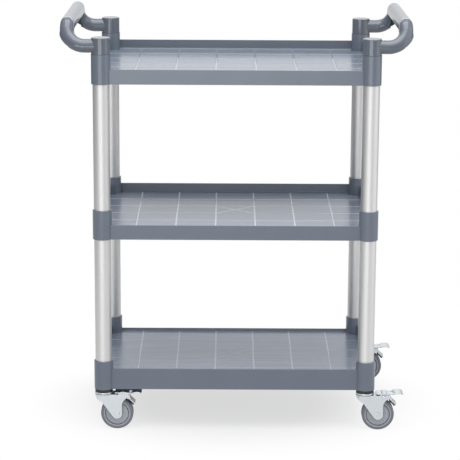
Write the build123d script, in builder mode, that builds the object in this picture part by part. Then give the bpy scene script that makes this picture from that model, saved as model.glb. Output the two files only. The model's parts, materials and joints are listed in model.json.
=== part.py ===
from build123d import *
import math
import os

os.makedirs("parts", exist_ok=True)

# A three-shelf serving trolley on four swivel castors.
# The origin is on the floor under the middle of the trolley.
# +X runs along its length, +Y to the rear, +Z up. Millimetres.

# Layout of the whole trolley
POST_PITCH_X = 606.0        # upright to upright along the length
POST_PITCH_Y = 380.0        # upright to upright across the depth
SHELF_PITCH = 356.0         # lower edge of one shelf to the next
PRESS_FIT = 0.05            # radial room between a tube or plug and its socket

# Uprights, drawn aluminium tube
TUBE_OD = 38.0
TUBE_WALL = 1.2

# Shelf moulding
BOSS_WALL = 3.0             # wall of the round corner sockets
BOSS_HEIGHT = 68.0
BOSS_ROUND = 1.2
SOCKET_DEPTH = 30.0         # how far a tube goes into a corner socket
RIM_OFFSET = 10.0           # rim's outer face, outside the line of the uprights
RIM_WALL = 3.0
HIGH_RIM = 49.5
LOW_RIM = 33.5
RIM_ROUND = 1.2
FLOOR_HEIGHT = 24.0         # lower edge of the rim to the underside of the floor
FLOOR_THICKNESS = 3.0
FLOOR_FILLET = 4.0
CORNER_RADIUS = 8.0
CELL_X = 91.0               # spacing of the stiffening ribs along the length
CELL_Y = 77.0
CROSS_RIBS = 6
LONG_RIBS = 4
RIB_THICKNESS = 2.0
RIB_DEPTH = 12.0
BEAD_WIDTH = 4.0            # shallow bead on the floor above each rib
BEAD_TOP_WIDTH = 1.6
BEAD_HEIGHT = 0.5

# Handle moulding
CAP_INSET = 1.05            # cap's side inside the face of the corner socket
CAP_HEIGHT = 36.5
CAP_ROUND = 1.5
SPIGOT_WALL = 3.0
SPIGOT_LENGTH = 29.0
ARM_DROP = 19.2             # top of the cap down to the middle of the arm
ARM_STRAIGHT = 36.3         # upright's axis out to the start of the arm's bend
GRIP_WIDTH = 31.5
GRIP_SKIRT = 11.0           # side walls below the middle of the grip
GRIP_WALL = 3.2
GRIP_LIP_ROUND = 1.2
ELBOW_RADIUS = 40.0         # bend that lifts the arm
ELBOW_TURN = 90.0           # degrees
ELBOW_LEAN = 60.0           # degrees from level, the way that bend leans inward
TOP_BEND_RADIUS = 21.7      # bend that turns the arm into the grip
ARM_SQUARENESS = 0.1        # the arm's section at the cap, from 0 for round to 1 for the grip's
BEND_SECTIONS = 6           # steps in which the section changes along the first bend
CHANNEL_START = 40.0        # degrees into that bend where the hollow begins

# Castor: plug, swivel head and fork
PLUG_LENGTH = 28.0
FLANGE_HEIGHT = 7.0
FLANGE_INSET = 0.5          # plug's flange inside the edge of the race
STEM_OD = 12.0
STEM_LENGTH = 22.0
RACE_OD = 42.0
RACE_HEIGHT = 4.0
RACE_GAP = 0.8
BALL_OD = 4.0
BALL_RING_RADIUS = 14.5
BALL_COUNT = 16
RUNNING_FIT = 0.08          # radial room in every turning fit
PIN_HEAD_OD = 20.0
PIN_HEAD_HEIGHT = 3.0
PIN_HEAD_GAP = 0.3          # king pin's head to the fork's top
PIN_HEAD_ROOM = 3.4         # king pin's head to the wheel
FORK_SHEET = 2.5
FORK_REAR = 27.5            # axis of the swivel to the rear edge of the fork's top
FORK_EAR = 27.5             # axle to the rear edge of the cheeks
FORK_EAR_DEPTH = 7.0        # height of that rear edge
FORK_TIP_RADIUS = 11.5
FORK_LEG_HEIGHT = 20.0      # straight rear edge of the leg above the axle
NOSE_RADIUS = 26.2
NOSE_FORWARD = 3.5          # centre of the nose curve, behind the swivel's axis
NOSE_ABOVE = 7.8            # and above the top of the fork
NOSE_END = 70.0             # degrees below level where the nose meets the leg
TRAIL = 30.5                # swivel axis to axle

# Castor: wheel
WHEEL_OD = 75.0
TREAD_WIDTH = 24.0
TREAD_ROUND = 4.0
TYRE_THICKNESS = 6.0
RIM_LAND = 3.5              # flat ring of the core beside the tyre
RIM_INSET = 1.0             # ring's face inside the tyre's side
GROOVE_WIDTH = 2.5
GROOVE_DEPTH = 4.0
DISC_INSET = 2.6            # face of the disc inside the tyre's side
HUB_OD = 19.0
HUB_GAP = 0.5               # hub's end to the fork's cheek
WHEEL_SIDE_ROOM = 1.8       # tyre's side to the fork's cheek
AXLE_OD = 6.0
SLEEVE_OD = 10.0
HEX_FLATS = 10.0
BOLT_HEAD = 4.0
NUT_HEIGHT = 5.0
BOLT_END = 0.7              # thread beyond the nut

# Castor: pedal brake
BRAKE_PIN_OD = 5.0
BRAKE_PIN_BEHIND = 14.0     # pivot behind the axle
BRAKE_PIN_BELOW = 4.7       # and below the top of the fork
RIVET_HEAD_OD = 8.4
RIVET_HEAD_HEIGHT = 1.6
BRAKE_TRAVEL = 8.0          # degrees from released to pressed
BRAKE_END_GAP = 0.3         # shoe to tyre with the pedal down
SHOE_ANGLE = 38.0           # degrees above level, seen from the axle, pedal down
SHOE_HALF_LENGTH = 7.5
SHOE_THICKNESS = 4.2
SHOE_WIDTH = 20.0
PEDAL_SHEET = 2.3
PEDAL_SIDE_ROOM = 0.5
PEDAL_ABOVE_FORK = 2.0
PEDAL_FRONT = 26.0          # swivel axis to the front edge of the pedal
PEDAL_REAR = 87.5           # swivel axis to the pedal's toe
TOE_LENGTH = 23.0
TOE_WIDTH = 34.0
TOE_CROWN = 2.6
PEDAL_RIDGE = 1.4
PEDAL_RIDGE_LENGTH = 14.0
PEDAL_WINDOW = 6.0          # length and width of the hole in front of the toe
PEDAL_WINDOW_WIDTH = 13.0
BACK_PLATE_RISE = 15.0      # plate behind the shoe, above the shoe's middle
EYE_RADIUS = 5.0

# Sizes that follow from the ones above
SOCKET_OD = TUBE_OD + 2 * PRESS_FIT
BOSS_OD = SOCKET_OD + 2 * BOSS_WALL
CAP_OD = BOSS_OD - 2 * CAP_INSET
FLANGE_OD = RACE_OD - 2 * FLANGE_INSET
SHELF_X = POST_PITCH_X + 2 * RIM_OFFSET
SHELF_Y = POST_PITCH_Y + 2 * RIM_OFFSET
INNER_X = SHELF_X - 2 * RIM_WALL
INNER_Y = SHELF_Y - 2 * RIM_WALL
POST_X = POST_PITCH_X / 2
POST_Y = POST_PITCH_Y / 2
FORK_UNDER = WHEEL_OD + PIN_HEAD_ROOM + PIN_HEAD_HEIGHT + PIN_HEAD_GAP
FORK_TOP = FORK_UNDER + FORK_SHEET
CASTOR_HEIGHT = FORK_TOP + RACE_GAP + RACE_HEIGHT + FLANGE_HEIGHT
SHELF_LEVELS = [CASTOR_HEIGHT + step * SHELF_PITCH for step in range(3)]
CORNERS = {
    "front_left": (-POST_X, -POST_Y),
    "front_right": (POST_X, -POST_Y),
    "rear_left": (-POST_X, POST_Y),
    "rear_right": (POST_X, POST_Y),
}
UP = (0, 0, 1)


def save(builder, name):
    builder.part.label = name
    export_step(builder.part, f"parts/{name}.step")


def side_plane(x, y):
    """Upright plane at y, drawn as seen from the front, that extrudes towards the front."""
    return Plane(origin=(x, y, 0), x_dir=(1, 0, 0), z_dir=(0, -1, 0))


def edges_at(builder, height):
    """Edges that lie level at one height."""
    return builder.edges().filter_by_position(Axis.Z, height - 0.01, height + 0.01)


def bead_section(middle, way, length):
    """Flat-topped section at the start of a floor bead that is centred on middle and runs along way."""
    half = BEAD_WIDTH / 2
    top = BEAD_TOP_WIDTH / 2
    start = middle - way * (length / 2)
    with BuildSketch(Plane(origin=start, x_dir=Vector(UP).cross(way), z_dir=way)) as section:
        Polygon((-half, 0), (half, 0), (top, BEAD_HEIGHT), (-top, BEAD_HEIGHT), align=None)
    return section.sketch


# Shelf: one moulding with three high sides and a low one, used three times
with BuildPart() as shelf_moulding:
    floor_top = FLOOR_HEIGHT + FLOOR_THICKNESS
    # Rim all round, rounded along its top
    with BuildSketch():
        RectangleRounded(SHELF_X, SHELF_Y, CORNER_RADIUS)
    extrude(amount=HIGH_RIM)
    fillet(shelf_moulding.edges().group_by(Axis.Z)[-1], RIM_ROUND)
    # Tray above the floor, with a fillet round its edge
    with BuildSketch(Plane.XY.offset(floor_top)):
        RectangleRounded(INNER_X, INNER_Y, CORNER_RADIUS - RIM_WALL)
    extrude(amount=HIGH_RIM, mode=Mode.SUBTRACT)
    fillet(edges_at(shelf_moulding, floor_top), FLOOR_FILLET)
    # Hollow underside
    with BuildSketch():
        RectangleRounded(INNER_X, INNER_Y, CORNER_RADIUS - RIM_WALL)
    extrude(amount=FLOOR_HEIGHT, mode=Mode.SUBTRACT)
    # The low side, at the front of the moulding
    with BuildSketch(Plane.XY.offset(LOW_RIM)):
        with Locations((0, -(SHELF_Y - RIM_WALL) / 2)):
            Rectangle(POST_PITCH_X, 2 * RIM_WALL)
    extrude(amount=HIGH_RIM, mode=Mode.SUBTRACT)
    fillet(edges_at(shelf_moulding, LOW_RIM).filter_by(Axis.X), RIM_ROUND)
    # Stiffening ribs under the floor, with a cross in the middle cell
    diagonal = math.hypot(CELL_X, CELL_Y)
    diagonal_angle = math.degrees(math.atan2(CELL_Y, CELL_X))
    with BuildSketch(Plane.XY.offset(FLOOR_HEIGHT - RIB_DEPTH)):
        with GridLocations(CELL_X, CELL_Y, CROSS_RIBS, 1):
            Rectangle(RIB_THICKNESS, INNER_Y)
        with GridLocations(CELL_X, CELL_Y, 1, LONG_RIBS):
            Rectangle(INNER_X, RIB_THICKNESS)
        for turn in (diagonal_angle, -diagonal_angle):
            Rectangle(diagonal, RIB_THICKNESS, rotation=turn)
    extrude(amount=RIB_DEPTH)
    # A bead on the floor above each rib
    bead_x = INNER_X - 2 * FLOOR_FILLET
    bead_y = INNER_Y - 2 * FLOOR_FILLET
    for rib in range(CROSS_RIBS):
        middle = Vector((rib - (CROSS_RIBS - 1) / 2) * CELL_X, 0, floor_top)
        extrude(bead_section(middle, Vector(0, 1, 0), bead_y), amount=bead_y)
    for rib in range(LONG_RIBS):
        middle = Vector(0, (rib - (LONG_RIBS - 1) / 2) * CELL_Y, floor_top)
        extrude(bead_section(middle, Vector(1, 0, 0), bead_x), amount=bead_x)
    for turn in (diagonal_angle, -diagonal_angle):
        way = Vector(1, 0, 0).rotate(Axis.Z, turn)
        extrude(bead_section(Vector(0, 0, floor_top), way, diagonal), amount=diagonal)
    # Round corner sockets, rounded at both ends, with a web between the two bores
    for corner_x, corner_y in CORNERS.values():
        with BuildSketch(side_plane(corner_x, corner_y)):
            Rectangle(BOSS_OD / 2, BOSS_HEIGHT, align=Align.MIN)
            fillet(vertices().group_by(Axis.X)[-1], BOSS_ROUND)
        revolve(axis=Axis((corner_x, corner_y, 0), UP))
    for mouth, depth in ((0, SOCKET_DEPTH), (BOSS_HEIGHT, -SOCKET_DEPTH)):
        with BuildSketch(Plane.XY.offset(mouth)):
            with GridLocations(POST_PITCH_X, POST_PITCH_Y, 2, 2):
                Circle(SOCKET_OD / 2)
        extrude(amount=depth, mode=Mode.SUBTRACT)

# The bottom shelf is turned round, so that its low side is at the rear
SHELF_TURNS = {"bottom_shelf": 180, "middle_shelf": 0, "top_shelf": 0}
for (shelf_name, turn), level in zip(SHELF_TURNS.items(), SHELF_LEVELS):
    with BuildPart() as shelf:
        with Locations(Location((0, 0, level), (0, 0, turn))):
            add(shelf_moulding.part)
    save(shelf, shelf_name)

# Uprights: each runs from the web of one corner socket to the web of the next
for storey, level in (("lower", SHELF_LEVELS[0]), ("upper", SHELF_LEVELS[1])):
    tube_start = level + BOSS_HEIGHT - SOCKET_DEPTH
    tube_end = level + SHELF_PITCH + SOCKET_DEPTH
    for corner, post in CORNERS.items():
        with BuildPart() as upright:
            with BuildSketch(Plane.XY.offset(tube_start)):
                with Locations(post):
                    Circle(TUBE_OD / 2)
                    Circle(TUBE_OD / 2 - TUBE_WALL, mode=Mode.SUBTRACT)
            extrude(amount=tube_end - tube_start)
        save(upright, f"{storey}_{corner}_upright")

# Handles: two caps joined by a raised grip that is hollow underneath.
# Each arm leaves its cap level, lifts in a bend that leans inward, and turns into the grip.
# The hollow opens straight down all along, as the mould draws.
LEAN_COS = math.cos(math.radians(ELBOW_LEAN))
LEAN_SIN = math.sin(math.radians(ELBOW_LEAN))
CAP_BOTTOM = SHELF_LEVELS[2] + BOSS_HEIGHT
ARM_HEIGHT = CAP_BOTTOM + CAP_HEIGHT - ARM_DROP
GRIP_RADIUS = GRIP_WIDTH / 2
RISING = Vector(0, LEAN_COS, LEAN_SIN)          # the arm's direction after its first bend


def path_plane(origin, way):
    """Plane across the handle's path, with its vertical axis as upright as the path allows."""
    crown = Vector(UP) - way * way.dot(Vector(UP))
    return Plane(origin=origin, x_dir=crown.normalized().cross(way), z_dir=way)


def grip_section(plane, squareness):
    """Outer shape: a half-round top over a half-round at squareness 0, or a lipped skirt at 1."""
    lip = GRIP_RADIUS + (GRIP_LIP_ROUND - GRIP_RADIUS) * squareness
    depth = GRIP_RADIUS + (GRIP_SKIRT - GRIP_RADIUS) * squareness
    lip_x = GRIP_RADIUS - lip
    lip_y = lip - depth
    with BuildSketch(plane) as section:
        with BuildLine():
            CenterArc((0, 0), GRIP_RADIUS, 0, 180)
            Line((-GRIP_RADIUS, 0), (-GRIP_RADIUS, lip_y))
            CenterArc((-lip_x, lip_y), lip, 180, 90)
            Line((-lip_x, -depth), (lip_x, -depth))
            CenterArc((lip_x, lip_y), lip, 270, 90)
            Line((GRIP_RADIUS, lip_y), (GRIP_RADIUS, 0))
        make_face()
    return section.sketch


def channel_section(plane):
    """Hollow inside the grip, open through the skirt."""
    inner = GRIP_RADIUS - GRIP_WALL
    below = GRIP_RADIUS + GRIP_LIP_ROUND
    with BuildSketch(plane) as section:
        with BuildLine():
            CenterArc((0, 0), inner, 0, 180)
            Polyline((-inner, 0), (-inner, -below), (inner, -below), (inner, 0))
        make_face()
    return section.sketch


def bend_plane(start, outward, turn):
    """Plane across the arm's first bend, turn degrees into it."""
    sine = math.sin(math.radians(turn))
    cosine = math.cos(math.radians(turn))
    origin = start + (outward * sine + RISING * (1 - cosine)) * ELBOW_RADIUS
    return path_plane(origin, outward * cosine + RISING * sine)


for side_name, side in (("left", -1), ("right", 1)):
    outward = Vector(side, 0, 0)
    cap_middle = Vector(side * POST_X, -POST_Y, ARM_HEIGHT)
    bend_start = cap_middle + outward * ARM_STRAIGHT
    at_cap = path_plane(cap_middle, outward)
    at_top = bend_plane(bend_start, outward, ELBOW_TURN)
    top_centre = at_top.origin - at_top.y_dir * TOP_BEND_RADIUS
    top_axis = Axis(top_centre, (-1, 0, 0))
    grip_start = top_centre + Vector(UP) * TOP_BEND_RADIUS
    at_grip = path_plane(grip_start, Vector(0, 1, 0))
    arm_sections = []
    channel_sections = []
    for step in range(BEND_SECTIONS + 1):
        share = step / BEND_SECTIONS
        squareness = ARM_SQUARENESS + (1 - ARM_SQUARENESS) * share**2
        channel_turn = CHANNEL_START + (ELBOW_TURN - CHANNEL_START) * share
        at_step = bend_plane(bend_start, outward, ELBOW_TURN * share)
        arm_sections.append(grip_section(at_step, squareness).face())
        channel_sections.append(channel_section(bend_plane(bend_start, outward, channel_turn)).face())
    with BuildPart() as handle:
        # Cap on the corner socket, with a hollow spigot inside it
        with BuildSketch(Plane.XY.offset(CAP_BOTTOM)):
            with Locations((side * POST_X, -POST_Y)):
                Circle(CAP_OD / 2)
        extrude(amount=CAP_HEIGHT)
        fillet(handle.edges().group_by(Axis.Z)[-1], CAP_ROUND)
        with BuildSketch(Plane.XY.offset(CAP_BOTTOM - SPIGOT_LENGTH)):
            with Locations((side * POST_X, -POST_Y)):
                Circle(TUBE_OD / 2)
                Circle(TUBE_OD / 2 - SPIGOT_WALL, mode=Mode.SUBTRACT)
        extrude(amount=SPIGOT_LENGTH)
        # Arm, two bends and half of the grip
        extrude(grip_section(at_cap, ARM_SQUARENESS), amount=ARM_STRAIGHT)
        loft(arm_sections)
        revolve(grip_section(at_top, 1), axis=top_axis, revolution_arc=ELBOW_LEAN)
        extrude(grip_section(at_grip, 1), amount=-grip_start.Y)
        # Hollow underside
        loft(channel_sections, mode=Mode.SUBTRACT)
        revolve(channel_section(at_top), axis=top_axis, revolution_arc=ELBOW_LEAN, mode=Mode.SUBTRACT)
        extrude(channel_section(at_grip), amount=-grip_start.Y, mode=Mode.SUBTRACT)
        mirror(about=Plane.XZ)
    save(handle, f"{side_name}_handle")

# Castors: a plug in the bottom shelf's corner socket carries a swivel head, a fork,
# a wheel and a pedal brake. All four are alike and trail towards +X.
WHEEL_RADIUS = WHEEL_OD / 2
FORK_GAP = TREAD_WIDTH + 2 * WHEEL_SIDE_ROOM
FORK_WIDTH = FORK_GAP + 2 * FORK_SHEET
STEM_BORE = STEM_OD / 2 + PRESS_FIT
CORE_RADIUS = WHEEL_RADIUS - TYRE_THICKNESS
PIN_X = TRAIL + BRAKE_PIN_BEHIND
PIN_Z = FORK_TOP - BRAKE_PIN_BELOW
PIN_ABOVE_AXLE = PIN_Z - WHEEL_RADIUS
PEDAL_WIDTH = FORK_GAP - 2 * PEDAL_SIDE_ROOM
PEDAL_UNDER = FORK_TOP + PEDAL_ABOVE_FORK
PEDAL_TOP = PEDAL_UNDER + PEDAL_SHEET

# Where the axle lies, seen from the released pedal, when the pedal is pressed
PRESSED_TURN = math.radians(BRAKE_TRAVEL)
PRESSED_X = PIN_X - BRAKE_PIN_BEHIND * math.cos(PRESSED_TURN) + PIN_ABOVE_AXLE * math.sin(PRESSED_TURN)
PRESSED_Z = PIN_Z - BRAKE_PIN_BEHIND * math.sin(PRESSED_TURN) - PIN_ABOVE_AXLE * math.cos(PRESSED_TURN)
SHOE_FACE = WHEEL_RADIUS + BRAKE_END_GAP
SHOE_BACK = SHOE_FACE + SHOE_THICKNESS
SHOE_TURN = math.radians(SHOE_ANGLE + BRAKE_TRAVEL)


def shoe_point(outwards, downwards):
    """Point beside the tyre: outwards from the pressed axle, downwards along the shoe."""
    return (
        PRESSED_X + outwards * math.cos(SHOE_TURN) + downwards * math.sin(SHOE_TURN),
        PRESSED_Z + outwards * math.sin(SHOE_TURN) - downwards * math.cos(SHOE_TURN),
    )


def nose_point(radius, turn):
    """Point on the curve of the fork's nose, turn degrees below level."""
    return (
        NOSE_FORWARD - radius * math.cos(math.radians(turn)),
        FORK_TOP + NOSE_ABOVE - radius * math.sin(math.radians(turn)),
    )


def nose_turn(radius, below):
    """Degrees below level at which the nose curve passes a depth below the fork's top."""
    return math.degrees(math.asin((NOSE_ABOVE + below) / radius))


def nose_arc(radius, first, last):
    """Three points that set an arc of the nose curve."""
    return [nose_point(radius, turn) for turn in (first, (first + last) / 2, last)]


def arch(first, last, level, rise):
    """Three points that set a shallow arch between two places at one level."""
    return [(first, level), ((first + last) / 2, level + rise), (last, level)]


for corner, (post_x, post_y) in CORNERS.items():
    swivel = Axis((post_x, post_y, 0), UP)
    axle_middle = (post_x + TRAIL, post_y, WHEEL_RADIUS)
    axle = Axis(axle_middle, (0, 1, 0))
    # Planes: level through the post, upright through the post, and across the wheel
    level_plane = Plane(origin=(post_x, post_y, 0))
    post_plane = side_plane(post_x, post_y)
    wheel_plane = Plane(origin=axle_middle, x_dir=(0, 1, 0), z_dir=(1, 0, 0))

    with BuildPart() as plug:
        with BuildSketch(level_plane.offset(CASTOR_HEIGHT - FLANGE_HEIGHT)):
            Circle(FLANGE_OD / 2)
        extrude(amount=FLANGE_HEIGHT)
        with BuildSketch(level_plane.offset(CASTOR_HEIGHT)):
            Circle(TUBE_OD / 2)
        extrude(amount=PLUG_LENGTH)
        chamfer(plug.edges().group_by(Axis.Z)[-1], BOSS_ROUND)
        with BuildSketch(level_plane.offset(CASTOR_HEIGHT - FLANGE_HEIGHT)):
            Circle(STEM_BORE)
        extrude(amount=FLANGE_HEIGHT + STEM_LENGTH, mode=Mode.SUBTRACT)
    save(plug, f"{corner}_castor_plug")

    with BuildPart() as stem:
        race_under = FORK_TOP + RACE_GAP
        pin_end = FORK_UNDER - PIN_HEAD_GAP
        with BuildSketch(post_plane):
            with BuildLine():
                Polyline(
                    (0, CASTOR_HEIGHT + STEM_LENGTH),
                    (STEM_OD / 2, CASTOR_HEIGHT + STEM_LENGTH),
                    (STEM_OD / 2, race_under + RACE_HEIGHT),
                    (RACE_OD / 2, race_under + RACE_HEIGHT),
                    (RACE_OD / 2, race_under),
                    (STEM_OD / 2, race_under),
                    (STEM_OD / 2, pin_end),
                    (PIN_HEAD_OD / 2, pin_end),
                    (PIN_HEAD_OD / 2, pin_end - PIN_HEAD_HEIGHT),
                    (0, pin_end - PIN_HEAD_HEIGHT),
                    close=True,
                )
            make_face()
        revolve(axis=swivel)
        race_rims = stem.edges().filter_by(GeomType.CIRCLE).sort_by(SortBy.RADIUS)[-2:]
        fillet(race_rims, RACE_GAP)
        with Locations((post_x, post_y, FORK_TOP + RACE_GAP / 2)):
            Torus(BALL_RING_RADIUS, BALL_OD / 2 + RUNNING_FIT, mode=Mode.SUBTRACT)
    save(stem, f"{corner}_swivel_stem")

    with BuildPart() as balls:
        with Locations((post_x, post_y, FORK_TOP + RACE_GAP / 2)):
            with PolarLocations(BALL_RING_RADIUS, BALL_COUNT):
                Sphere(BALL_OD / 2)
    save(balls, f"{corner}_swivel_balls")

    # Room inside the fork for the wheel, the pin's head and the pedal
    with BuildPart() as wheel_room:
        inner_nose = NOSE_RADIUS - FORK_SHEET
        nose_top = nose_turn(inner_nose, FORK_SHEET)
        with BuildSketch(side_plane(post_x, post_y + FORK_GAP / 2)):
            with BuildLine():
                ThreePointArc(*nose_arc(inner_nose, nose_top, NOSE_END))
                Polyline(
                    nose_point(inner_nose, NOSE_END),
                    nose_point(NOSE_RADIUS + FORK_SHEET, NOSE_END),
                    (-RACE_OD, 0),
                    (TRAIL + WHEEL_OD, 0),
                    (TRAIL + WHEEL_OD, FORK_TOP + FORK_SHEET),
                    (FORK_REAR, FORK_TOP + FORK_SHEET),
                    (FORK_REAR, FORK_UNDER),
                    nose_point(inner_nose, nose_top),
                )
            make_face()
        extrude(amount=FORK_GAP)
        with BuildSketch(level_plane):
            Circle(RACE_OD / 2 - FORK_SHEET)
            Rectangle(TRAIL + WHEEL_OD, FORK_GAP, align=(Align.MIN, Align.CENTER))
        extrude(amount=CASTOR_HEIGHT, mode=Mode.INTERSECT)

    with BuildPart() as fork:
        # Side shape of nose, leg and ear
        nose_top = nose_turn(NOSE_RADIUS, 0)
        nose_foot = Vector(*nose_point(NOSE_RADIUS, NOSE_END))
        to_axle = Vector(TRAIL, WHEEL_RADIUS) - nose_foot
        lean = math.atan2(to_axle.Y, to_axle.X) - math.asin(FORK_TIP_RADIUS / to_axle.length)
        leg_length = math.sqrt(to_axle.length**2 - FORK_TIP_RADIUS**2)
        leg_end = nose_foot + Vector(math.cos(lean), math.sin(lean)) * leg_length
        tip_rear = Vector(TRAIL + FORK_TIP_RADIUS, WHEEL_RADIUS)
        leg_top = tip_rear + Vector(0, FORK_LEG_HEIGHT)
        ear_low = Vector(TRAIL + FORK_EAR, FORK_TOP - FORK_EAR_DEPTH)
        with BuildSketch(side_plane(post_x, post_y + FORK_WIDTH / 2)):
            with BuildLine():
                ThreePointArc(*nose_arc(NOSE_RADIUS, nose_top, NOSE_END))
                Line(nose_foot, leg_end)
                RadiusArc(leg_end, tip_rear, -FORK_TIP_RADIUS)
                Line(tip_rear, leg_top)
                TangentArc(leg_top, ear_low, tangent=(0, 1))
                Polyline(ear_low, (ear_low.X, FORK_TOP), nose_point(NOSE_RADIUS, nose_top))
            make_face()
        extrude(amount=FORK_WIDTH)
        with BuildSketch(level_plane):
            Circle(RACE_OD / 2)
            Rectangle(TRAIL + WHEEL_OD, FORK_WIDTH, align=(Align.MIN, Align.CENTER))
        extrude(amount=CASTOR_HEIGHT, mode=Mode.INTERSECT)
        add(wheel_room.part, mode=Mode.SUBTRACT)
        # Round top, with the lower race pressed into it
        with BuildSketch(level_plane.offset(FORK_UNDER)):
            Circle(RACE_OD / 2)
        extrude(amount=FORK_SHEET)
        with Locations((post_x, post_y, FORK_TOP + RACE_GAP / 2)):
            Torus(BALL_RING_RADIUS, BALL_OD / 2 + RUNNING_FIT, mode=Mode.SUBTRACT)
        # Holes for the king pin, the axle and the brake's pivot
        with BuildSketch(level_plane.offset(FORK_UNDER)):
            Circle(STEM_OD / 2 + RUNNING_FIT)
        extrude(amount=FORK_SHEET, mode=Mode.SUBTRACT)
        with BuildSketch(side_plane(post_x, post_y + FORK_WIDTH / 2)):
            with Locations((TRAIL, WHEEL_RADIUS)):
                Circle(AXLE_OD / 2 + PRESS_FIT)
            with Locations((PIN_X, PIN_Z)):
                Circle(BRAKE_PIN_OD / 2 + PRESS_FIT)
        extrude(amount=FORK_WIDTH, mode=Mode.SUBTRACT)
    save(fork, f"{corner}_fork")

    # Axle: a bolt from the front and a nut at the rear
    with BuildPart() as axle_bolt:
        with BuildSketch(side_plane(post_x, post_y - FORK_WIDTH / 2)):
            with Locations((TRAIL, WHEEL_RADIUS)):
                RegularPolygon(HEX_FLATS / 2, 6, major_radius=False)
        extrude(amount=BOLT_HEAD)
        with BuildSketch(side_plane(post_x, post_y + FORK_WIDTH / 2 + NUT_HEIGHT + BOLT_END)):
            with Locations((TRAIL, WHEEL_RADIUS)):
                Circle(AXLE_OD / 2)
        extrude(amount=FORK_WIDTH + NUT_HEIGHT + BOLT_END)
        with BuildSketch(side_plane(post_x, post_y + FORK_WIDTH / 2 + NUT_HEIGHT)):
            with Locations((TRAIL, WHEEL_RADIUS)):
                RegularPolygon(HEX_FLATS / 2, 6, major_radius=False)
                Circle(AXLE_OD / 2 + PRESS_FIT, mode=Mode.SUBTRACT)
        extrude(amount=NUT_HEIGHT)
    save(axle_bolt, f"{corner}_axle_bolt")

    with BuildPart() as sleeve:
        with BuildSketch(side_plane(post_x, post_y + FORK_GAP / 2)):
            with Locations((TRAIL, WHEEL_RADIUS)):
                Circle(SLEEVE_OD / 2)
                Circle(AXLE_OD / 2 + PRESS_FIT, mode=Mode.SUBTRACT)
        extrude(amount=FORK_GAP)
    save(sleeve, f"{corner}_axle_sleeve")

    # Wheel core: hub, disc, groove and rim, drawn from its middle to one side
    with BuildPart() as core:
        disc_face = TREAD_WIDTH / 2 - DISC_INSET
        rim_face = TREAD_WIDTH / 2 - RIM_INSET
        groove_floor = disc_face - GROOVE_DEPTH
        rim_inner = CORE_RADIUS - RIM_LAND
        hub_face = FORK_GAP / 2 - HUB_GAP
        bore = SLEEVE_OD / 2 + RUNNING_FIT
        with BuildSketch(wheel_plane):
            with BuildLine():
                Polyline(
                    (0, bore),
                    (hub_face, bore),
                    (hub_face, HUB_OD / 2),
                    (disc_face, HUB_OD / 2),
                    (disc_face, rim_inner - GROOVE_WIDTH),
                    (groove_floor, rim_inner - GROOVE_WIDTH),
                    (groove_floor, rim_inner),
                    (rim_face, rim_inner),
                    (rim_face, CORE_RADIUS),
                    (0, CORE_RADIUS),
                    close=True,
                )
            make_face()
            mirror(about=Plane.YZ)
        revolve(axis=axle)
    save(core, f"{corner}_wheel_core")

    with BuildPart() as tyre:
        with BuildSketch(wheel_plane):
            with Locations((0, WHEEL_RADIUS)):
                Rectangle(TREAD_WIDTH, TYRE_THICKNESS - PRESS_FIT, align=(Align.CENTER, Align.MAX))
            fillet(vertices().group_by(Axis.Y)[-1], TREAD_ROUND)
        revolve(axis=axle)
    save(tyre, f"{corner}_tyre")

    # Brake: a rivet across the fork, a pressed pedal on it and a rubber shoe
    with BuildPart() as brake_pin:
        rivet_length = FORK_WIDTH + 2 * RIVET_HEAD_HEIGHT
        with BuildSketch(side_plane(post_x, post_y + rivet_length / 2)):
            with Locations((PIN_X, PIN_Z)):
                Circle(BRAKE_PIN_OD / 2)
        extrude(amount=rivet_length)
        for head_y in (post_y + rivet_length / 2, post_y - FORK_WIDTH / 2):
            with BuildSketch(side_plane(post_x, head_y)):
                with Locations((PIN_X, PIN_Z)):
                    Circle(RIVET_HEAD_OD / 2)
            extrude(amount=RIVET_HEAD_HEIGHT)
    save(brake_pin, f"{corner}_brake_pin")

    with BuildPart() as pedal:
        toe_start = PEDAL_REAR - TOE_LENGTH
        ridge_start = PIN_X - PEDAL_RIDGE_LENGTH / 2
        ridge_end = PIN_X + PEDAL_RIDGE_LENGTH / 2
        # Top plate with a pressed ridge over the pivot
        with BuildSketch(side_plane(post_x, post_y + PEDAL_WIDTH / 2)):
            with BuildLine():
                Line((PEDAL_FRONT, PEDAL_TOP), (ridge_start, PEDAL_TOP))
                ThreePointArc(*arch(ridge_start, ridge_end, PEDAL_TOP, PEDAL_RIDGE))
                Polyline(
                    (ridge_end, PEDAL_TOP),
                    (toe_start + PEDAL_SHEET, PEDAL_TOP),
                    (toe_start + PEDAL_SHEET, PEDAL_UNDER),
                    (ridge_end, PEDAL_UNDER),
                )
                ThreePointArc(*arch(ridge_end, ridge_start, PEDAL_UNDER, PEDAL_RIDGE))
                Polyline((ridge_start, PEDAL_UNDER), (PEDAL_FRONT, PEDAL_UNDER), (PEDAL_FRONT, PEDAL_TOP))
            make_face()
        extrude(amount=PEDAL_WIDTH)
        with BuildSketch(level_plane.offset(PEDAL_UNDER)):
            with Locations((toe_start - PEDAL_WINDOW / 2, 0)):
                Rectangle(PEDAL_WINDOW, PEDAL_WINDOW_WIDTH)
        extrude(amount=PEDAL_SHEET, mode=Mode.SUBTRACT)
        # Crowned toe for the foot
        with BuildSketch(side_plane(post_x, post_y + TOE_WIDTH / 2)):
            with BuildLine():
                ThreePointArc(*arch(toe_start, PEDAL_REAR, PEDAL_TOP, TOE_CROWN))
                Line((PEDAL_REAR, PEDAL_TOP), (PEDAL_REAR, PEDAL_UNDER))
                ThreePointArc(*arch(PEDAL_REAR, toe_start, PEDAL_UNDER, TOE_CROWN))
                Line((toe_start, PEDAL_UNDER), (toe_start, PEDAL_TOP))
            make_face()
        extrude(amount=TOE_WIDTH)
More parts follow.
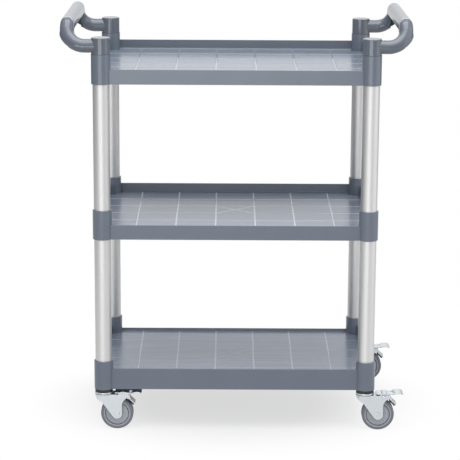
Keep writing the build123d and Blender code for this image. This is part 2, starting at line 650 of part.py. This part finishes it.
        # Side flanges with the pivot's eyes, reaching down to the shoe
        for flange_y in (post_y + PEDAL_WIDTH / 2, post_y - PEDAL_WIDTH / 2 + PEDAL_SHEET):
            with BuildSketch(side_plane(post_x, flange_y)):
                with BuildLine():
                    Polyline(
                        (ridge_start - EYE_RADIUS, PEDAL_UNDER),
                        (PIN_X - EYE_RADIUS, PIN_Z),
                        (PIN_X, PIN_Z - EYE_RADIUS),
                        shoe_point(SHOE_BACK, -BACK_PLATE_RISE),
                        shoe_point(SHOE_BACK, SHOE_HALF_LENGTH),
                        shoe_point(SHOE_BACK + PEDAL_SHEET, SHOE_HALF_LENGTH),
                        shoe_point(SHOE_BACK + PEDAL_SHEET, -SHOE_HALF_LENGTH),
                        (toe_start - PEDAL_WINDOW, PEDAL_UNDER),
                        (ridge_end, PEDAL_UNDER),
                        (PIN_X, PEDAL_UNDER + PEDAL_RIDGE),
                        (ridge_start, PEDAL_UNDER),
                        close=True,
                    )
                make_face()
                with Locations((PIN_X, PIN_Z)):
                    Circle(EYE_RADIUS)
                    Circle(BRAKE_PIN_OD / 2 + RUNNING_FIT, mode=Mode.SUBTRACT)
            extrude(amount=PEDAL_SHEET)
        # Plate behind the shoe
        with BuildSketch(side_plane(post_x, post_y + PEDAL_WIDTH / 2)):
            with BuildLine():
                Polyline(
                    shoe_point(SHOE_BACK, -BACK_PLATE_RISE),
                    shoe_point(SHOE_BACK, SHOE_HALF_LENGTH),
                    shoe_point(SHOE_BACK + PEDAL_SHEET, SHOE_HALF_LENGTH),
                    shoe_point(SHOE_BACK + PEDAL_SHEET, -BACK_PLATE_RISE),
                    close=True,
                )
            make_face()
        extrude(amount=PEDAL_WIDTH)
    save(pedal, f"{corner}_brake_pedal")

    with BuildPart() as shoe:
        with BuildSketch(side_plane(post_x, post_y + SHOE_WIDTH / 2)):
            with BuildLine():
                half = math.degrees(math.asin(SHOE_HALF_LENGTH / SHOE_FACE))
                edge = SHOE_FACE * math.cos(math.radians(half))
                ThreePointArc(
                    shoe_point(edge, -SHOE_HALF_LENGTH),
                    shoe_point(SHOE_FACE, 0),
                    shoe_point(edge, SHOE_HALF_LENGTH),
                )
                Polyline(
                    shoe_point(edge, SHOE_HALF_LENGTH),
                    shoe_point(SHOE_BACK, SHOE_HALF_LENGTH),
                    shoe_point(SHOE_BACK, -SHOE_HALF_LENGTH),
                    shoe_point(edge, -SHOE_HALF_LENGTH),
                )
            make_face()
        extrude(amount=SHOE_WIDTH)
    save(shoe, f"{corner}_brake_shoe")
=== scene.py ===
import json
import math

import bpy
from mathutils import Matrix, Vector


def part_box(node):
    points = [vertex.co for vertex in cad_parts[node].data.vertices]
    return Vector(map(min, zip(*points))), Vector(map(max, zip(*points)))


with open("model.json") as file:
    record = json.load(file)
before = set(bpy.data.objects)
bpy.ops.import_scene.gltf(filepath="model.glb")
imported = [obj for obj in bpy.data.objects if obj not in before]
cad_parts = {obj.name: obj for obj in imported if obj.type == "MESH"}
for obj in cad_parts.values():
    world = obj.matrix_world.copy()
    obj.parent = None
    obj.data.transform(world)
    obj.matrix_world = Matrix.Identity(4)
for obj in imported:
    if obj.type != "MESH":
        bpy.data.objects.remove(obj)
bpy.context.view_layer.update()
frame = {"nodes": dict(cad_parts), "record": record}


# Shelves: three like trays, each moulded in one piece with its rims, floor, ribs and corner sockets.
# Injection-moulded polypropylene in a bluish mid grey, pushed over the ends of the uprights.
SHELVES = ["bottom_shelf", "middle_shelf", "top_shelf"]
SHELF_GREY = "#5c6470"
SHELF_GREY_CLOUD = "#626a76"
PAINTED_LIGHT_SCUFF_GREY = "#6d7686"    # floors, painted paler than the walls as painted light for the light falling on them, and scuffed in streaks by what slides on them
PAINTED_LIGHT_SCUFF_GREY_PALE = "#8992a2"
BEAD_RUB_AND_HIGHLIGHT_GREY = "#bfc7d3"       # the floors' beads, rubbed paler, and painted paler still as a painted highlight for their bright reflection
JOINT_SHADE_GREY = "#25272b"      # painted shade in the joint under the caps of the handles
POLYPROPYLENE_IOR = 1.49
FLOOR_ROUGHNESS = 0.22      # tray floor, finely matt
BEAD_ROUGHNESS = 0.08       # beads, rubbed smooth by trays
WALL_ROUGHNESS = 0.28       # rims and sockets, grained
CLOUD_MM = 60               # faint clouds in the moulded colour
STREAK_MM = 14              # width of the scuffed streaks
STREAK_LENGTH_MM = 180      # and their length, along the shelf
STREAK_GLOSS = 0.07         # how far the floor's roughness drifts with them
GRAIN_MM = 1.5              # mould grain, really about 0.2 mm, drawn coarser so that it shows
GRAIN_DEPTH_MM = 0.2
WALL_GRAIN = 0.05           # strength of the grain on walls
GRAIN_STEEP = 0.85          # it fades as a face's normal rises from here
GRAIN_LEVEL = 0.98          # to here, so that the floors have none

# Heights and half widths of the worn and painted places, in metres
floor_places = {mount["name"]: mount["pos_m"] for mount in frame["record"]["mounts"]}
FLOOR_LEVEL = floor_places["bottom_shelf_floor"][2]
SHELF_STEP = floor_places["middle_shelf_floor"][2] - FLOOR_LEVEL
FLOOR_MARGIN = 0.0005       # heights are taken from this far under each floor, clear of rounding
FLOOR_BAND = 0.0045         # and count as floor up to here
LEVEL_LIMIT = 0.9           # a face is level if its normal rises by more than this
BEAD_LOW = 0.00052          # the smooth and painted-pale bead begins just above the floor
BEAD_HIGH = 0.00066         # and is full from here to the top of the bead
TRAY_HALF_LENGTH = 0.3055   # inside the round foot of the rims
TRAY_HALF_DEPTH = 0.1925
MIDDLE_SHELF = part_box("middle_shelf")[0].z
TOP_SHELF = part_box("top_shelf")[0].z
UNDER_SHELF = 0.1           # the painted paleness of floors and beads changes over this height, just under a shelf
TOP_PAINTED_LIGHT = 0.2              # the top shelf's floor gets this share of the others' painted paleness, as the top lamp lights it
BOTTOM_BEAD_PALENESS = 0.45        # the bottom shelf's beads are painted this much as pale as the middle one's
JOINT_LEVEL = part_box("top_shelf")[1].z      # where the caps of the handles stand on the sockets
JOINT_SHADE_LOW = 0.0014          # painted shade begins this far under the joint
JOINT_SHADE_HIGH = 0.0002         # and is full from here up
JOINT_SHADE_DULLNESS = 0.5        # what it adds to the roughness


def linear(hex_colour):
    """Linear colour with alpha from an sRGB hex value."""
    parts = [int(hex_colour[start:start + 2], 16) / 255 for start in (1, 3, 5)]
    return [p / 12.92 if p <= 0.04045 else ((p + 0.055) / 1.055) ** 2.4 for p in parts] + [1.0]


def add_node(tree, kind, sockets=None, links=None, **settings):
    """Adds a node, gives its settings and socket values, and links its sockets to outputs."""
    made = tree.nodes.new(kind)
    for name, value in settings.items():
        setattr(made, name, value)
    for name, value in (sockets or {}).items():
        made.inputs[name].default_value = value
    for name, (source, output) in (links or {}).items():
        tree.links.new(source.outputs[output], made.inputs[name])
    return made


def new_material(name):
    """An empty material and its node tree."""
    material = bpy.data.materials.new(name)
    material.use_nodes = True
    material.node_tree.nodes.clear()
    return material, material.node_tree


def dress(names, material, shader):
    """Ends a material with its shader, and gives it to CAD nodes."""
    add_node(material.node_tree, "ShaderNodeOutputMaterial", links={"Surface": (shader, "BSDF")})
    for name in names:
        for slot in frame["nodes"][name].material_slots:
            slot.material = material


# Moulded polypropylene: an even grey with faint clouds, and a soft sheen on the grained walls.
# Use has scuffed the floors in pale streaks and rubbed their beads smooth, most on the middle shelf; on top
# of that the floors are painted paler than the walls as painted light for the light falling on them, least
# on the top shelf, and the beads paler still as a painted highlight for their bright reflection.
# The joint under the handles' caps is painted as a thin dark line, a painted shade of the gap between cap
# and socket.
shelf_plastic, tree = new_material("moulded polypropylene, satin grey")
place = add_node(tree, "ShaderNodeTexCoord")
surface = add_node(tree, "ShaderNodeNewGeometry")
facing = add_node(tree, "ShaderNodeSeparateXYZ", links={"Vector": (surface, "Normal")})
height = add_node(tree, "ShaderNodeSeparateXYZ", links={"Vector": (place, "Object")})
clouds = add_node(
    tree, "ShaderNodeTexNoise", {"Scale": 1000 / CLOUD_MM, "Detail": 3.0}, {"Vector": (place, "Object")})
grain = add_node(
    tree, "ShaderNodeTexNoise", {"Scale": 1000 / GRAIN_MM, "Detail": 2.0}, {"Vector": (place, "Object")})
slid = add_node(
    tree, "ShaderNodeMapping", {"Scale": (1000 / STREAK_LENGTH_MM, 1000 / STREAK_MM, 1000 / STREAK_MM)},
    {"Vector": (place, "Object")})
streaks = add_node(tree, "ShaderNodeTexNoise", {"Scale": 1.0, "Detail": 3.0}, {"Vector": (slid, "Vector")})
grey = add_node(
    tree, "ShaderNodeMixRGB", {"Color1": linear(SHELF_GREY), "Color2": linear(SHELF_GREY_CLOUD)},
    {"Fac": (clouds, "Fac")})

# Height over the nearest floor below, and where that, the slope and the outline make it tray floor
above = add_node(
    tree, "ShaderNodeMath", {1: FLOOR_LEVEL - FLOOR_MARGIN}, {0: (height, "Z")}, operation="SUBTRACT")
on_floor = add_node(
    tree, "ShaderNodeMath", {1: SHELF_STEP}, {0: (above, "Value")}, operation="FLOORED_MODULO")
not_wall = add_node(
    tree, "ShaderNodeMath", {1: FLOOR_BAND}, {0: (on_floor, "Value")}, operation="LESS_THAN")
flat = add_node(tree, "ShaderNodeMath", {1: LEVEL_LIMIT}, {0: (facing, "Z")}, operation="GREATER_THAN")
level_floor = add_node(
    tree, "ShaderNodeMath", links={0: (not_wall, "Value"), 1: (flat, "Value")}, operation="MULTIPLY")
sides = add_node(tree, "ShaderNodeVectorMath", links={0: (place, "Object")}, operation="ABSOLUTE")
reach = add_node(tree, "ShaderNodeSeparateXYZ", links={"Vector": (sides, "Vector")})
in_length = add_node(
    tree, "ShaderNodeMath", {1: TRAY_HALF_LENGTH}, {0: (reach, "X")}, operation="LESS_THAN")
in_depth = add_node(
    tree, "ShaderNodeMath", {1: TRAY_HALF_DEPTH}, {0: (reach, "Y")}, operation="LESS_THAN")
inside = add_node(
    tree, "ShaderNodeMath", links={0: (in_length, "Value"), 1: (in_depth, "Value")}, operation="MULTIPLY")
tray = add_node(
    tree, "ShaderNodeMath", links={0: (level_floor, "Value"), 1: (inside, "Value")}, operation="MULTIPLY")

# Floors painted paler for light and scuffed, then beads painted pale for their highlight, then the joint's
# painted shade
# Painted light: the share of the paler floor colour on each shelf, smaller under the top lamp
painted_light_share = add_node(
    tree, "ShaderNodeMapRange",
    {"From Min": TOP_SHELF - UNDER_SHELF, "From Max": TOP_SHELF, "To Min": 1.0, "To Max": TOP_PAINTED_LIGHT},
    {"Value": (height, "Z")})
lit_and_scuffed = add_node(
    tree, "ShaderNodeMath", links={0: (tray, "Value"), 1: (painted_light_share, "Result")}, operation="MULTIPLY")
scuff_and_light = add_node(
    tree, "ShaderNodeMixRGB", {"Color1": linear(PAINTED_LIGHT_SCUFF_GREY), "Color2": linear(PAINTED_LIGHT_SCUFF_GREY_PALE)},
    {"Fac": (streaks, "Fac")})
floor_lit_and_scuffed = add_node(
    tree, "ShaderNodeMixRGB",
    links={"Fac": (lit_and_scuffed, "Value"), "Color1": (grey, "Color"), "Color2": (scuff_and_light, "Color")})
bead = add_node(
    tree, "ShaderNodeMapRange", {"From Min": BEAD_LOW, "From Max": BEAD_HIGH},
    {"Value": (on_floor, "Value")})
# Painted highlight: how pale each shelf's beads are painted
bead_paleness = add_node(
    tree, "ShaderNodeMapRange",
    {"From Min": MIDDLE_SHELF - UNDER_SHELF, "From Max": MIDDLE_SHELF,
     "To Min": BOTTOM_BEAD_PALENESS, "To Max": 1.0},
    {"Value": (height, "Z")})
pale_bead = add_node(
    tree, "ShaderNodeMath", links={0: (bead, "Result"), 1: (bead_paleness, "Result")}, operation="MULTIPLY")
pale = add_node(
    tree, "ShaderNodeMath", links={0: (pale_bead, "Value"), 1: (lit_and_scuffed, "Value")}, operation="MULTIPLY")
colour = add_node(
    tree, "ShaderNodeMixRGB", {"Color2": linear(BEAD_RUB_AND_HIGHLIGHT_GREY)},
    {"Fac": (pale, "Value"), "Color1": (floor_lit_and_scuffed, "Color")})
# Painted shade: a thin dark band just under the joint
joint = add_node(
    tree, "ShaderNodeMapRange", {"From Min": JOINT_LEVEL - JOINT_SHADE_LOW, "From Max": JOINT_LEVEL - JOINT_SHADE_HIGH},
    {"Value": (height, "Z")})
shade_painted = add_node(
    tree, "ShaderNodeMixRGB", {"Color2": linear(JOINT_SHADE_GREY)},
    {"Fac": (joint, "Result"), "Color1": (colour, "Color")})

# Roughness of walls and floors, uneven in the streaks, less on the beads and more in the joint
matt = add_node(
    tree, "ShaderNodeMapRange", {"To Min": WALL_ROUGHNESS, "To Max": FLOOR_ROUGHNESS},
    {"Value": (tray, "Value")})
raised = add_node(
    tree, "ShaderNodeMath", links={0: (bead, "Result"), 1: (tray, "Value")}, operation="MULTIPLY")
smooth = add_node(
    tree, "ShaderNodeMapRange", {"To Min": 0.0, "To Max": BEAD_ROUGHNESS - FLOOR_ROUGHNESS},
    {"Value": (raised, "Value")})
worn = add_node(tree, "ShaderNodeMath", links={0: (matt, "Result"), 1: (smooth, "Result")})
streaked = add_node(
    tree, "ShaderNodeMapRange", {"To Min": -STREAK_GLOSS, "To Max": STREAK_GLOSS},
    {"Value": (streaks, "Fac")})
uneven = add_node(
    tree, "ShaderNodeMath", links={0: (streaked, "Result"), 1: (tray, "Value")}, operation="MULTIPLY")
used = add_node(tree, "ShaderNodeMath", links={0: (worn, "Value"), 1: (uneven, "Value")})
dull = add_node(tree, "ShaderNodeMath", {1: JOINT_SHADE_DULLNESS}, {0: (joint, "Result")}, operation="MULTIPLY")
roughness = add_node(tree, "ShaderNodeMath", links={0: (used, "Value"), 1: (dull, "Value")})
grained = add_node(
    tree, "ShaderNodeMapRange",
    {"From Min": GRAIN_STEEP, "From Max": GRAIN_LEVEL, "To Min": WALL_GRAIN, "To Max": 0.0},
    {"Value": (facing, "Z")})
bump = add_node(
    tree, "ShaderNodeBump", {"Distance": GRAIN_DEPTH_MM / 1000},
    {"Height": (grain, "Fac"), "Strength": (grained, "Result")})
shader = add_node(
    tree, "ShaderNodeBsdfPrincipled", {"IOR": POLYPROPYLENE_IOR},
    {"Base Color": (shade_painted, "Color"), "Roughness": (roughness, "Value"), "Normal": (bump, "Normal")})
dress(SHELVES, shelf_plastic, shader)


# Uprights: eight plain lengths of drawn aluminium tube between the shelves' sockets.
# Satin anodised; the drawing die leaves fine lines that run along each tube.
CORNERS = ["front_left", "front_right", "rear_left", "rear_right"]
UPRIGHTS = [f"{storey}_{corner}_upright" for storey in ("lower", "upper") for corner in CORNERS]
ALUMINIUM = "#d7d7d7"
ALUMINIUM_LINE = "#cccccc"
TUBE_ROUGHNESS = (0.47, 0.57)
DIE_LINE_MM = 1.4           # die lines, really about 0.1 mm apart, drawn coarser so that they show
DIE_LINE_LENGTH_MM = 300
DIE_LINE_DEPTH_MM = 0.1
DIE_LINE_BUMP = 0.04

# Satin anodised aluminium: a broad soft highlight along the tube, broken up by faint long lines
tube_metal, tree = new_material("anodised aluminium tube, satin drawn")
place = add_node(tree, "ShaderNodeTexCoord")
along = add_node(
    tree, "ShaderNodeMapping",
    {"Scale": (1000 / DIE_LINE_MM, 1000 / DIE_LINE_MM, 1000 / DIE_LINE_LENGTH_MM)},
    {"Vector": (place, "Object")})
lines = add_node(tree, "ShaderNodeTexNoise", {"Scale": 1.0, "Detail": 2.0}, {"Vector": (along, "Vector")})
colour = add_node(
    tree, "ShaderNodeMixRGB", {"Color1": linear(ALUMINIUM), "Color2": linear(ALUMINIUM_LINE)},
    {"Fac": (lines, "Fac")})
roughness = add_node(
    tree, "ShaderNodeMapRange", {"To Min": TUBE_ROUGHNESS[0], "To Max": TUBE_ROUGHNESS[1]},
    {"Value": (lines, "Fac")})
bump = add_node(
    tree, "ShaderNodeBump", {"Strength": DIE_LINE_BUMP, "Distance": DIE_LINE_DEPTH_MM / 1000},
    {"Height": (lines, "Fac")})
shader = add_node(
    tree, "ShaderNodeBsdfPrincipled", {"Metallic": 1.0},
    {"Base Color": (colour, "Color"), "Roughness": (roughness, "Result"), "Normal": (bump, "Normal")})
dress(UPRIGHTS, tube_metal, shader)


# Handles: at each end two caps and a raised grip in one moulding, hollow underneath.
# The same polypropylene as the shelves, pushed into the top shelf's corner sockets by two spigots.
HANDLES = ["left_handle", "right_handle"]
HANDLE_GREY = "#565c66"
HANDLE_GREY_CLOUD = "#5c626c"
HANDLE_ROUGHNESS = (0.12, 0.18)     # smoother than the shelves' walls
HANDLE_GRAIN = 0.012


def two_tones(tree, first, second, patch_mm, roughness, detail=3.0):
    """Links for a colour and a roughness that drift together between two values, in patches."""
    place = add_node(tree, "ShaderNodeTexCoord")
    patches = add_node(
        tree, "ShaderNodeTexNoise", {"Scale": 1000 / patch_mm, "Detail": detail},
        {"Vector": (place, "Object")})
    colour = add_node(
        tree, "ShaderNodeMixRGB", {"Color1": linear(first), "Color2": linear(second)},
        {"Fac": (patches, "Fac")})
    drift = add_node(
        tree, "ShaderNodeMapRange", {"To Min": roughness[0], "To Max": roughness[1]},
        {"Value": (patches, "Fac")})
    return {"Base Color": (colour, "Color"), "Roughness": (drift, "Result")}


# Moulded polypropylene with a faint grain that hands have rubbed to a sheen
handle_plastic, tree = new_material("moulded polypropylene, rubbed grey")
look = two_tones(tree, HANDLE_GREY, HANDLE_GREY_CLOUD, CLOUD_MM, HANDLE_ROUGHNESS)
place = add_node(tree, "ShaderNodeTexCoord")
grain = add_node(
    tree, "ShaderNodeTexNoise", {"Scale": 1000 / GRAIN_MM, "Detail": 2.0}, {"Vector": (place, "Object")})
bump = add_node(
    tree, "ShaderNodeBump", {"Strength": HANDLE_GRAIN, "Distance": GRAIN_DEPTH_MM / 1000},
    {"Height": (grain, "Fac")})
shader = add_node(
    tree, "ShaderNodeBsdfPrincipled", {"IOR": POLYPROPYLENE_IOR}, {**look, "Normal": (bump, "Normal")})
dress(HANDLES, handle_plastic, shader)


# Castor plugs: a flanged plug in each lower corner socket, which takes the castor's stem.
# Moulded black polyamide, pushed in from below.
PLUGS = [f"{corner}_castor_plug" for corner in CORNERS]
PLUG_BLACK = "#13161c"
PLUG_BLACK_CLOUD = "#232427"
PLUG_CLOUD_MM = 6
PLUG_ROUGHNESS = (0.42, 0.55)
POLYAMIDE_IOR = 1.53

# Moulded polyamide: near black, dull, with slightly uneven gloss
plug_plastic, tree = new_material("moulded polyamide, black")
look = two_tones(tree, PLUG_BLACK, PLUG_BLACK_CLOUD, PLUG_CLOUD_MM, PLUG_ROUGHNESS)
shader = add_node(tree, "ShaderNodeBsdfPrincipled", {"IOR": POLYAMIDE_IOR}, look)
dress(PLUGS, plug_plastic, shader)


# Swivel stems, forks, axle bolts, brake pins and pedals: turned, pressed and riveted steel.
# All plated with bright zinc after forming, and held by the king pin's head, a nut or a rivet.
PLATED = [
    f"{corner}_{piece}"
    for corner in CORNERS
    for piece in ("swivel_stem", "fork", "axle_bolt", "brake_pin", "brake_pedal")
]
ZINC = "#d2d6d9"
ZINC_CLOUD = "#c4cacf"
ZINC_CLOUD_MM = 7           # cloudy patches in the plate
ZINC_ROUGHNESS = (0.24, 0.4)
ZINC_EDGE_MM = 0.5          # how far the press rounds a sheared edge

# Bright zinc plate: pale with a cold tint, cloudy gloss, and sheared edges that catch the light
zinc_plate, tree = new_material("zinc-plated pressed steel")
look = two_tones(tree, ZINC, ZINC_CLOUD, ZINC_CLOUD_MM, ZINC_ROUGHNESS, detail=4.0)
edge = add_node(tree, "ShaderNodeBevel", {"Radius": ZINC_EDGE_MM / 1000}, samples=4)
shader = add_node(
    tree, "ShaderNodeBsdfPrincipled", {"Metallic": 1.0}, {**look, "Normal": (edge, "Normal")})
dress(PLATED, zinc_plate, shader)


# Swivel balls and axle sleeves: hard steel, bare, inside each castor.
# The balls run between stem and fork, and the sleeve is clamped between the fork's cheeks.
BARE_STEEL = [f"{corner}_{piece}" for corner in CORNERS for piece in ("swivel_balls", "axle_sleeve")]
STEEL = "#b4b5b7"
STEEL_OILED = "#9c9a95"
OIL_MM = 3
STEEL_ROUGHNESS = (0.15, 0.3)

# Ground steel: mirror-like with a thin uneven film of oil
ground_steel, tree = new_material("ground steel, oiled")
look = two_tones(tree, STEEL, STEEL_OILED, OIL_MM, STEEL_ROUGHNESS, detail=2.0)
shader = add_node(tree, "ShaderNodeBsdfPrincipled", {"Metallic": 1.0}, look)
dress(BARE_STEEL, ground_steel, shader)


# Wheel cores: hub, disc and rim in one moulding of light grey polypropylene.
# Each turns on the sleeve, and the tyre is moulded round it.
CORES = [f"{corner}_wheel_core" for corner in CORNERS]
CORE_GREY = "#8d9199"
CORE_GREY_CLOUD = "#969aa1"
CORE_CLOUD_MM = 9
CORE_ROUGHNESS = (0.38, 0.5)

# Moulded polypropylene: lighter than the shelves, satin
core_plastic, tree = new_material("moulded polypropylene, light grey")
look = two_tones(tree, CORE_GREY, CORE_GREY_CLOUD, CORE_CLOUD_MM, CORE_ROUGHNESS)
shader = add_node(tree, "ShaderNodeBsdfPrincipled", {"IOR": POLYPROPYLENE_IOR}, look)
dress(CORES, core_plastic, shader)


# Tyres: a smooth ring of soft grey thermoplastic rubber moulded on each core.
# It leaves no marks, and its tread picks up dust.
TYRES = [f"{corner}_tyre" for corner in CORNERS]
TYRE_GREY = "#5f636b"
TYRE_DUST = "#6d7078"
TYRE_DUST_MM = 5
TYRE_ROUGHNESS = (0.5, 0.68)
SOFT_RUBBER_IOR = 1.5

# Thermoplastic rubber: dark grey, dull, with a faint film of dust
tyre_rubber, tree = new_material("thermoplastic rubber, dark grey")
look = two_tones(tree, TYRE_GREY, TYRE_DUST, TYRE_DUST_MM, TYRE_ROUGHNESS, detail=4.0)
shader = add_node(tree, "ShaderNodeBsdfPrincipled", {"IOR": SOFT_RUBBER_IOR}, look)
dress(TYRES, tyre_rubber, shader)


# Brake shoes: a curved pad on the back plate of each pedal that bears on the tyre.
# Moulded black rubber, bonded to the plate.
SHOES = [f"{corner}_brake_shoe" for corner in CORNERS]
SHOE_BLACK = "#1e1e1f"
SHOE_WORN = "#2e2e2f"
SHOE_WEAR_MM = 2
SHOE_ROUGHNESS = (0.65, 0.85)
RUBBER_IOR = 1.52

# Rubber: black and dull, greyed in spots by wear
shoe_rubber, tree = new_material("moulded rubber, black")
look = two_tones(tree, SHOE_BLACK, SHOE_WORN, SHOE_WEAR_MM, SHOE_ROUGHNESS)
shader = add_node(tree, "ShaderNodeBsdfPrincipled", {"IOR": RUBBER_IOR}, look)
dress(SHOES, shoe_rubber, shader)


# Studio: a pale floor in a white room, lit mostly from overhead, from low in front and from the right.
# The grey walls are seen only in the trolley's gloss, where they draw the edges of tubes and sockets.
# The floor's grey paint shows near the trolley even where no shadow falls: a painted shadow round it
FLOOR_GREY = "#c8c8c8"
FLOOR_REACH = 9.0           # half the floor's width, in metres
SHADOW_SHARE = 0.36         # part of the floor's white that its shadows, and the painted shadow round the trolley, can take away
SHADOW_NEAR = 0.15          # that share fades from this far from the middle
SHADOW_FAR = 0.44           # to nothing here
SHADOW_STRETCH = (0.8, 1.0, 1.0)    # and reaches further along the trolley's length
FLOOR_BOUNCE = 0.5          # light that the lit floor gives back to the trolley
ROOM_LEVEL = 0.79
WHITE = (1.0, 1.0, 1.0, 1.0)
WALLS = {                   # line on the floor, height and level of each wall
    "left studio wall": ([(-1.4, 2.7), (-2.9, 0.8), (-3.2, -5.5)], 3.2, 0.2),
    "front studio wall": ([(-3.2, -5.5), (3.2, -5.5)], 3.2, 0.03),
    "right studio wall": ([(3.2, -5.5), (2.9, 0.8), (1.4, 2.7)], 3.2, 0.32),
    "studio back wall": ([(-1.4, 2.7), (1.4, 2.7)], 1.22, 0.92),
}
LAMP_AIM = Vector((0.0, 0.0, 0.5))  # the middle of the trolley
SOFT_BOXES = {              # place, width, depth and power
    "key soft box": ((-0.75, -3.6, 0.6), 2.7, 1.1, 39),
    "front soft box": ((-0.3, -3.2, 2.9), 2.2, 1.4, 3),
    "top soft box": ((0.0, -0.5, 3.2), 2.6, 2.6, 82),
    "right soft box": ((2.5, -0.6, 1.1), 2.6, 2.6, 27),
    "left soft box": ((-2.5, -0.6, 1.1), 2.6, 2.6, 2),
    "back soft box": ((0.0, 2.6, 2.0), 2.4, 0.8, 9),
}


def looked_at(tree):
    """A node that gives 1 to rays that show a thing, plain, mirrored or through glass, and 0 to others."""
    ray = add_node(tree, "ShaderNodeLightPath")
    plain_or_mirrored = add_node(
        tree, "ShaderNodeMath", links={0: (ray, "Is Camera Ray"), 1: (ray, "Is Glossy Ray")},
        operation="MAXIMUM")
    return add_node(
        tree, "ShaderNodeMath", links={0: (plain_or_mirrored, "Value"), 1: (ray, "Is Transmission Ray")},
        operation="MAXIMUM")


# White room: lights the trolley evenly, and is plain white where it is seen or mirrored
room = bpy.data.worlds.new("white room")
bpy.context.scene.world = room
room.use_nodes = True
tree = room.node_tree
tree.nodes.clear()
seen = looked_at(tree)
lighting = add_node(tree, "ShaderNodeBackground", {"Color": WHITE, "Strength": ROOM_LEVEL})
white = add_node(tree, "ShaderNodeBackground", {"Color": WHITE, "Strength": 1.0})
mixed = add_node(
    tree, "ShaderNodeMixShader",
    links={0: (seen, "Value"), 1: (lighting, "Background"), 2: (white, "Background")})
add_node(tree, "ShaderNodeOutputWorld", links={"Surface": (mixed, "Shader")})

# Matt pale floor: takes the trolley's shadow close by, and round the trolley shows its grey paint as a
# painted shadow that fades to plain white further out
floor_mesh = bpy.data.meshes.new("studio floor")
floor_corners = [(x * FLOOR_REACH, y * FLOOR_REACH, 0) for x, y in ((-1, -1), (1, -1), (1, 1), (-1, 1))]
floor_mesh.from_pydata(floor_corners, [], [(0, 1, 2, 3)])
studio_floor = bpy.data.objects.new("studio floor", floor_mesh)
bpy.context.collection.objects.link(studio_floor)
floor_paint, tree = new_material("matt pale studio floor")
seen = looked_at(tree)
place = add_node(tree, "ShaderNodeTexCoord")
stretched = add_node(tree, "ShaderNodeMapping", {"Scale": SHADOW_STRETCH}, {"Vector": (place, "Object")})
away = add_node(tree, "ShaderNodeVectorMath", links={0: (stretched, "Vector")}, operation="LENGTH")
# Painted shadow: near the middle more of the grey paint shows, fading to plain white further out
plain = add_node(
    tree, "ShaderNodeMapRange",
    {"From Min": SHADOW_NEAR, "From Max": SHADOW_FAR, "To Min": 1 - SHADOW_SHARE, "To Max": 1.0},
    {"Value": (away, "Value")}, interpolation_type="SMOOTHSTEP")
paint = add_node(tree, "ShaderNodeBsdfDiffuse", {"Color": linear(FLOOR_GREY)})
lit = add_node(
    tree, "ShaderNodeMapRange", {"To Min": FLOOR_BOUNCE, "To Max": 1.0}, {"Value": (seen, "Value")})
white = add_node(tree, "ShaderNodeEmission", {"Color": WHITE}, {"Strength": (lit, "Result")})
both = add_node(
    tree, "ShaderNodeMixShader", links={0: (plain, "Result"), 1: (paint, "BSDF"), 2: (white, "Emission")})
add_node(tree, "ShaderNodeOutputMaterial", links={"Surface": (both, "Shader")})
floor_mesh.materials.append(floor_paint)

# Matt paint: each wall is one even grey, mirrored by plastic and metal
for name, (line, wall_height, level) in WALLS.items():
    wall_paint, tree = new_material(f"matt paint of {name}")
    grey = add_node(tree, "ShaderNodeEmission", {"Color": WHITE, "Strength": level})
    add_node(tree, "ShaderNodeOutputMaterial", links={"Surface": (grey, "Emission")})
    wall_mesh = bpy.data.meshes.new(name)
    wall_points = [(x, y, z) for x, y in line for z in (0, wall_height)]
    wall_faces = [(2 * i, 2 * i + 2, 2 * i + 3, 2 * i + 1) for i in range(len(line) - 1)]
    wall_mesh.from_pydata(wall_points, [], wall_faces)
    wall_mesh.materials.append(wall_paint)
    wall = bpy.data.objects.new(name, wall_mesh)
    wall.visible_camera = False
    wall.visible_diffuse = False
    wall.visible_shadow = False
    bpy.context.collection.objects.link(wall)

# Soft boxes: broad lamps behind white cloth, all turned to the middle of the trolley
for name, (spot, width, depth, power) in SOFT_BOXES.items():
    lamp = bpy.data.lights.new(name, "AREA")
    lamp.shape = "RECTANGLE"
    lamp.size = width
    lamp.size_y = depth
    lamp.energy = power
    box = bpy.data.objects.new(name, lamp)
    box.location = spot
    box.rotation_euler = (LAMP_AIM - Vector(spot)).to_track_quat("-Z", "Y").to_euler()
    bpy.context.collection.objects.link(box)


# Camera: a long lens 4.4 m in front of the trolley, half a metre above its top and tilted down.
# It leans by a third of a degree, as the photograph does.
FRAME_PIXELS = 460
FOCAL_PIXELS = 1909.2       # focal length, as so many pixels of that frame
SENSOR_MM = 36.0
CAMERA_SPOT = (-0.0215, -4.4271, 1.4597)
TILT_DOWN = 13.103          # degrees, as the next two
TURN = -0.123
LEAN = 0.302

camera_data = bpy.data.cameras.new("front camera")
camera_data.sensor_width = SENSOR_MM
camera_data.lens = FOCAL_PIXELS * SENSOR_MM / FRAME_PIXELS
camera = bpy.data.objects.new("front camera", camera_data)
bpy.context.collection.objects.link(camera)
camera.matrix_world = (
    Matrix.Translation(CAMERA_SPOT)
    @ Matrix.Rotation(math.radians(TURN), 4, "Z")
    @ Matrix.Rotation(math.radians(90 - TILT_DOWN), 4, "X")
    @ Matrix.Rotation(math.radians(LEAN), 4, "Z")
)
bpy.context.scene.camera = camera
bpy.context.scene.view_settings.view_transform = "Standard"
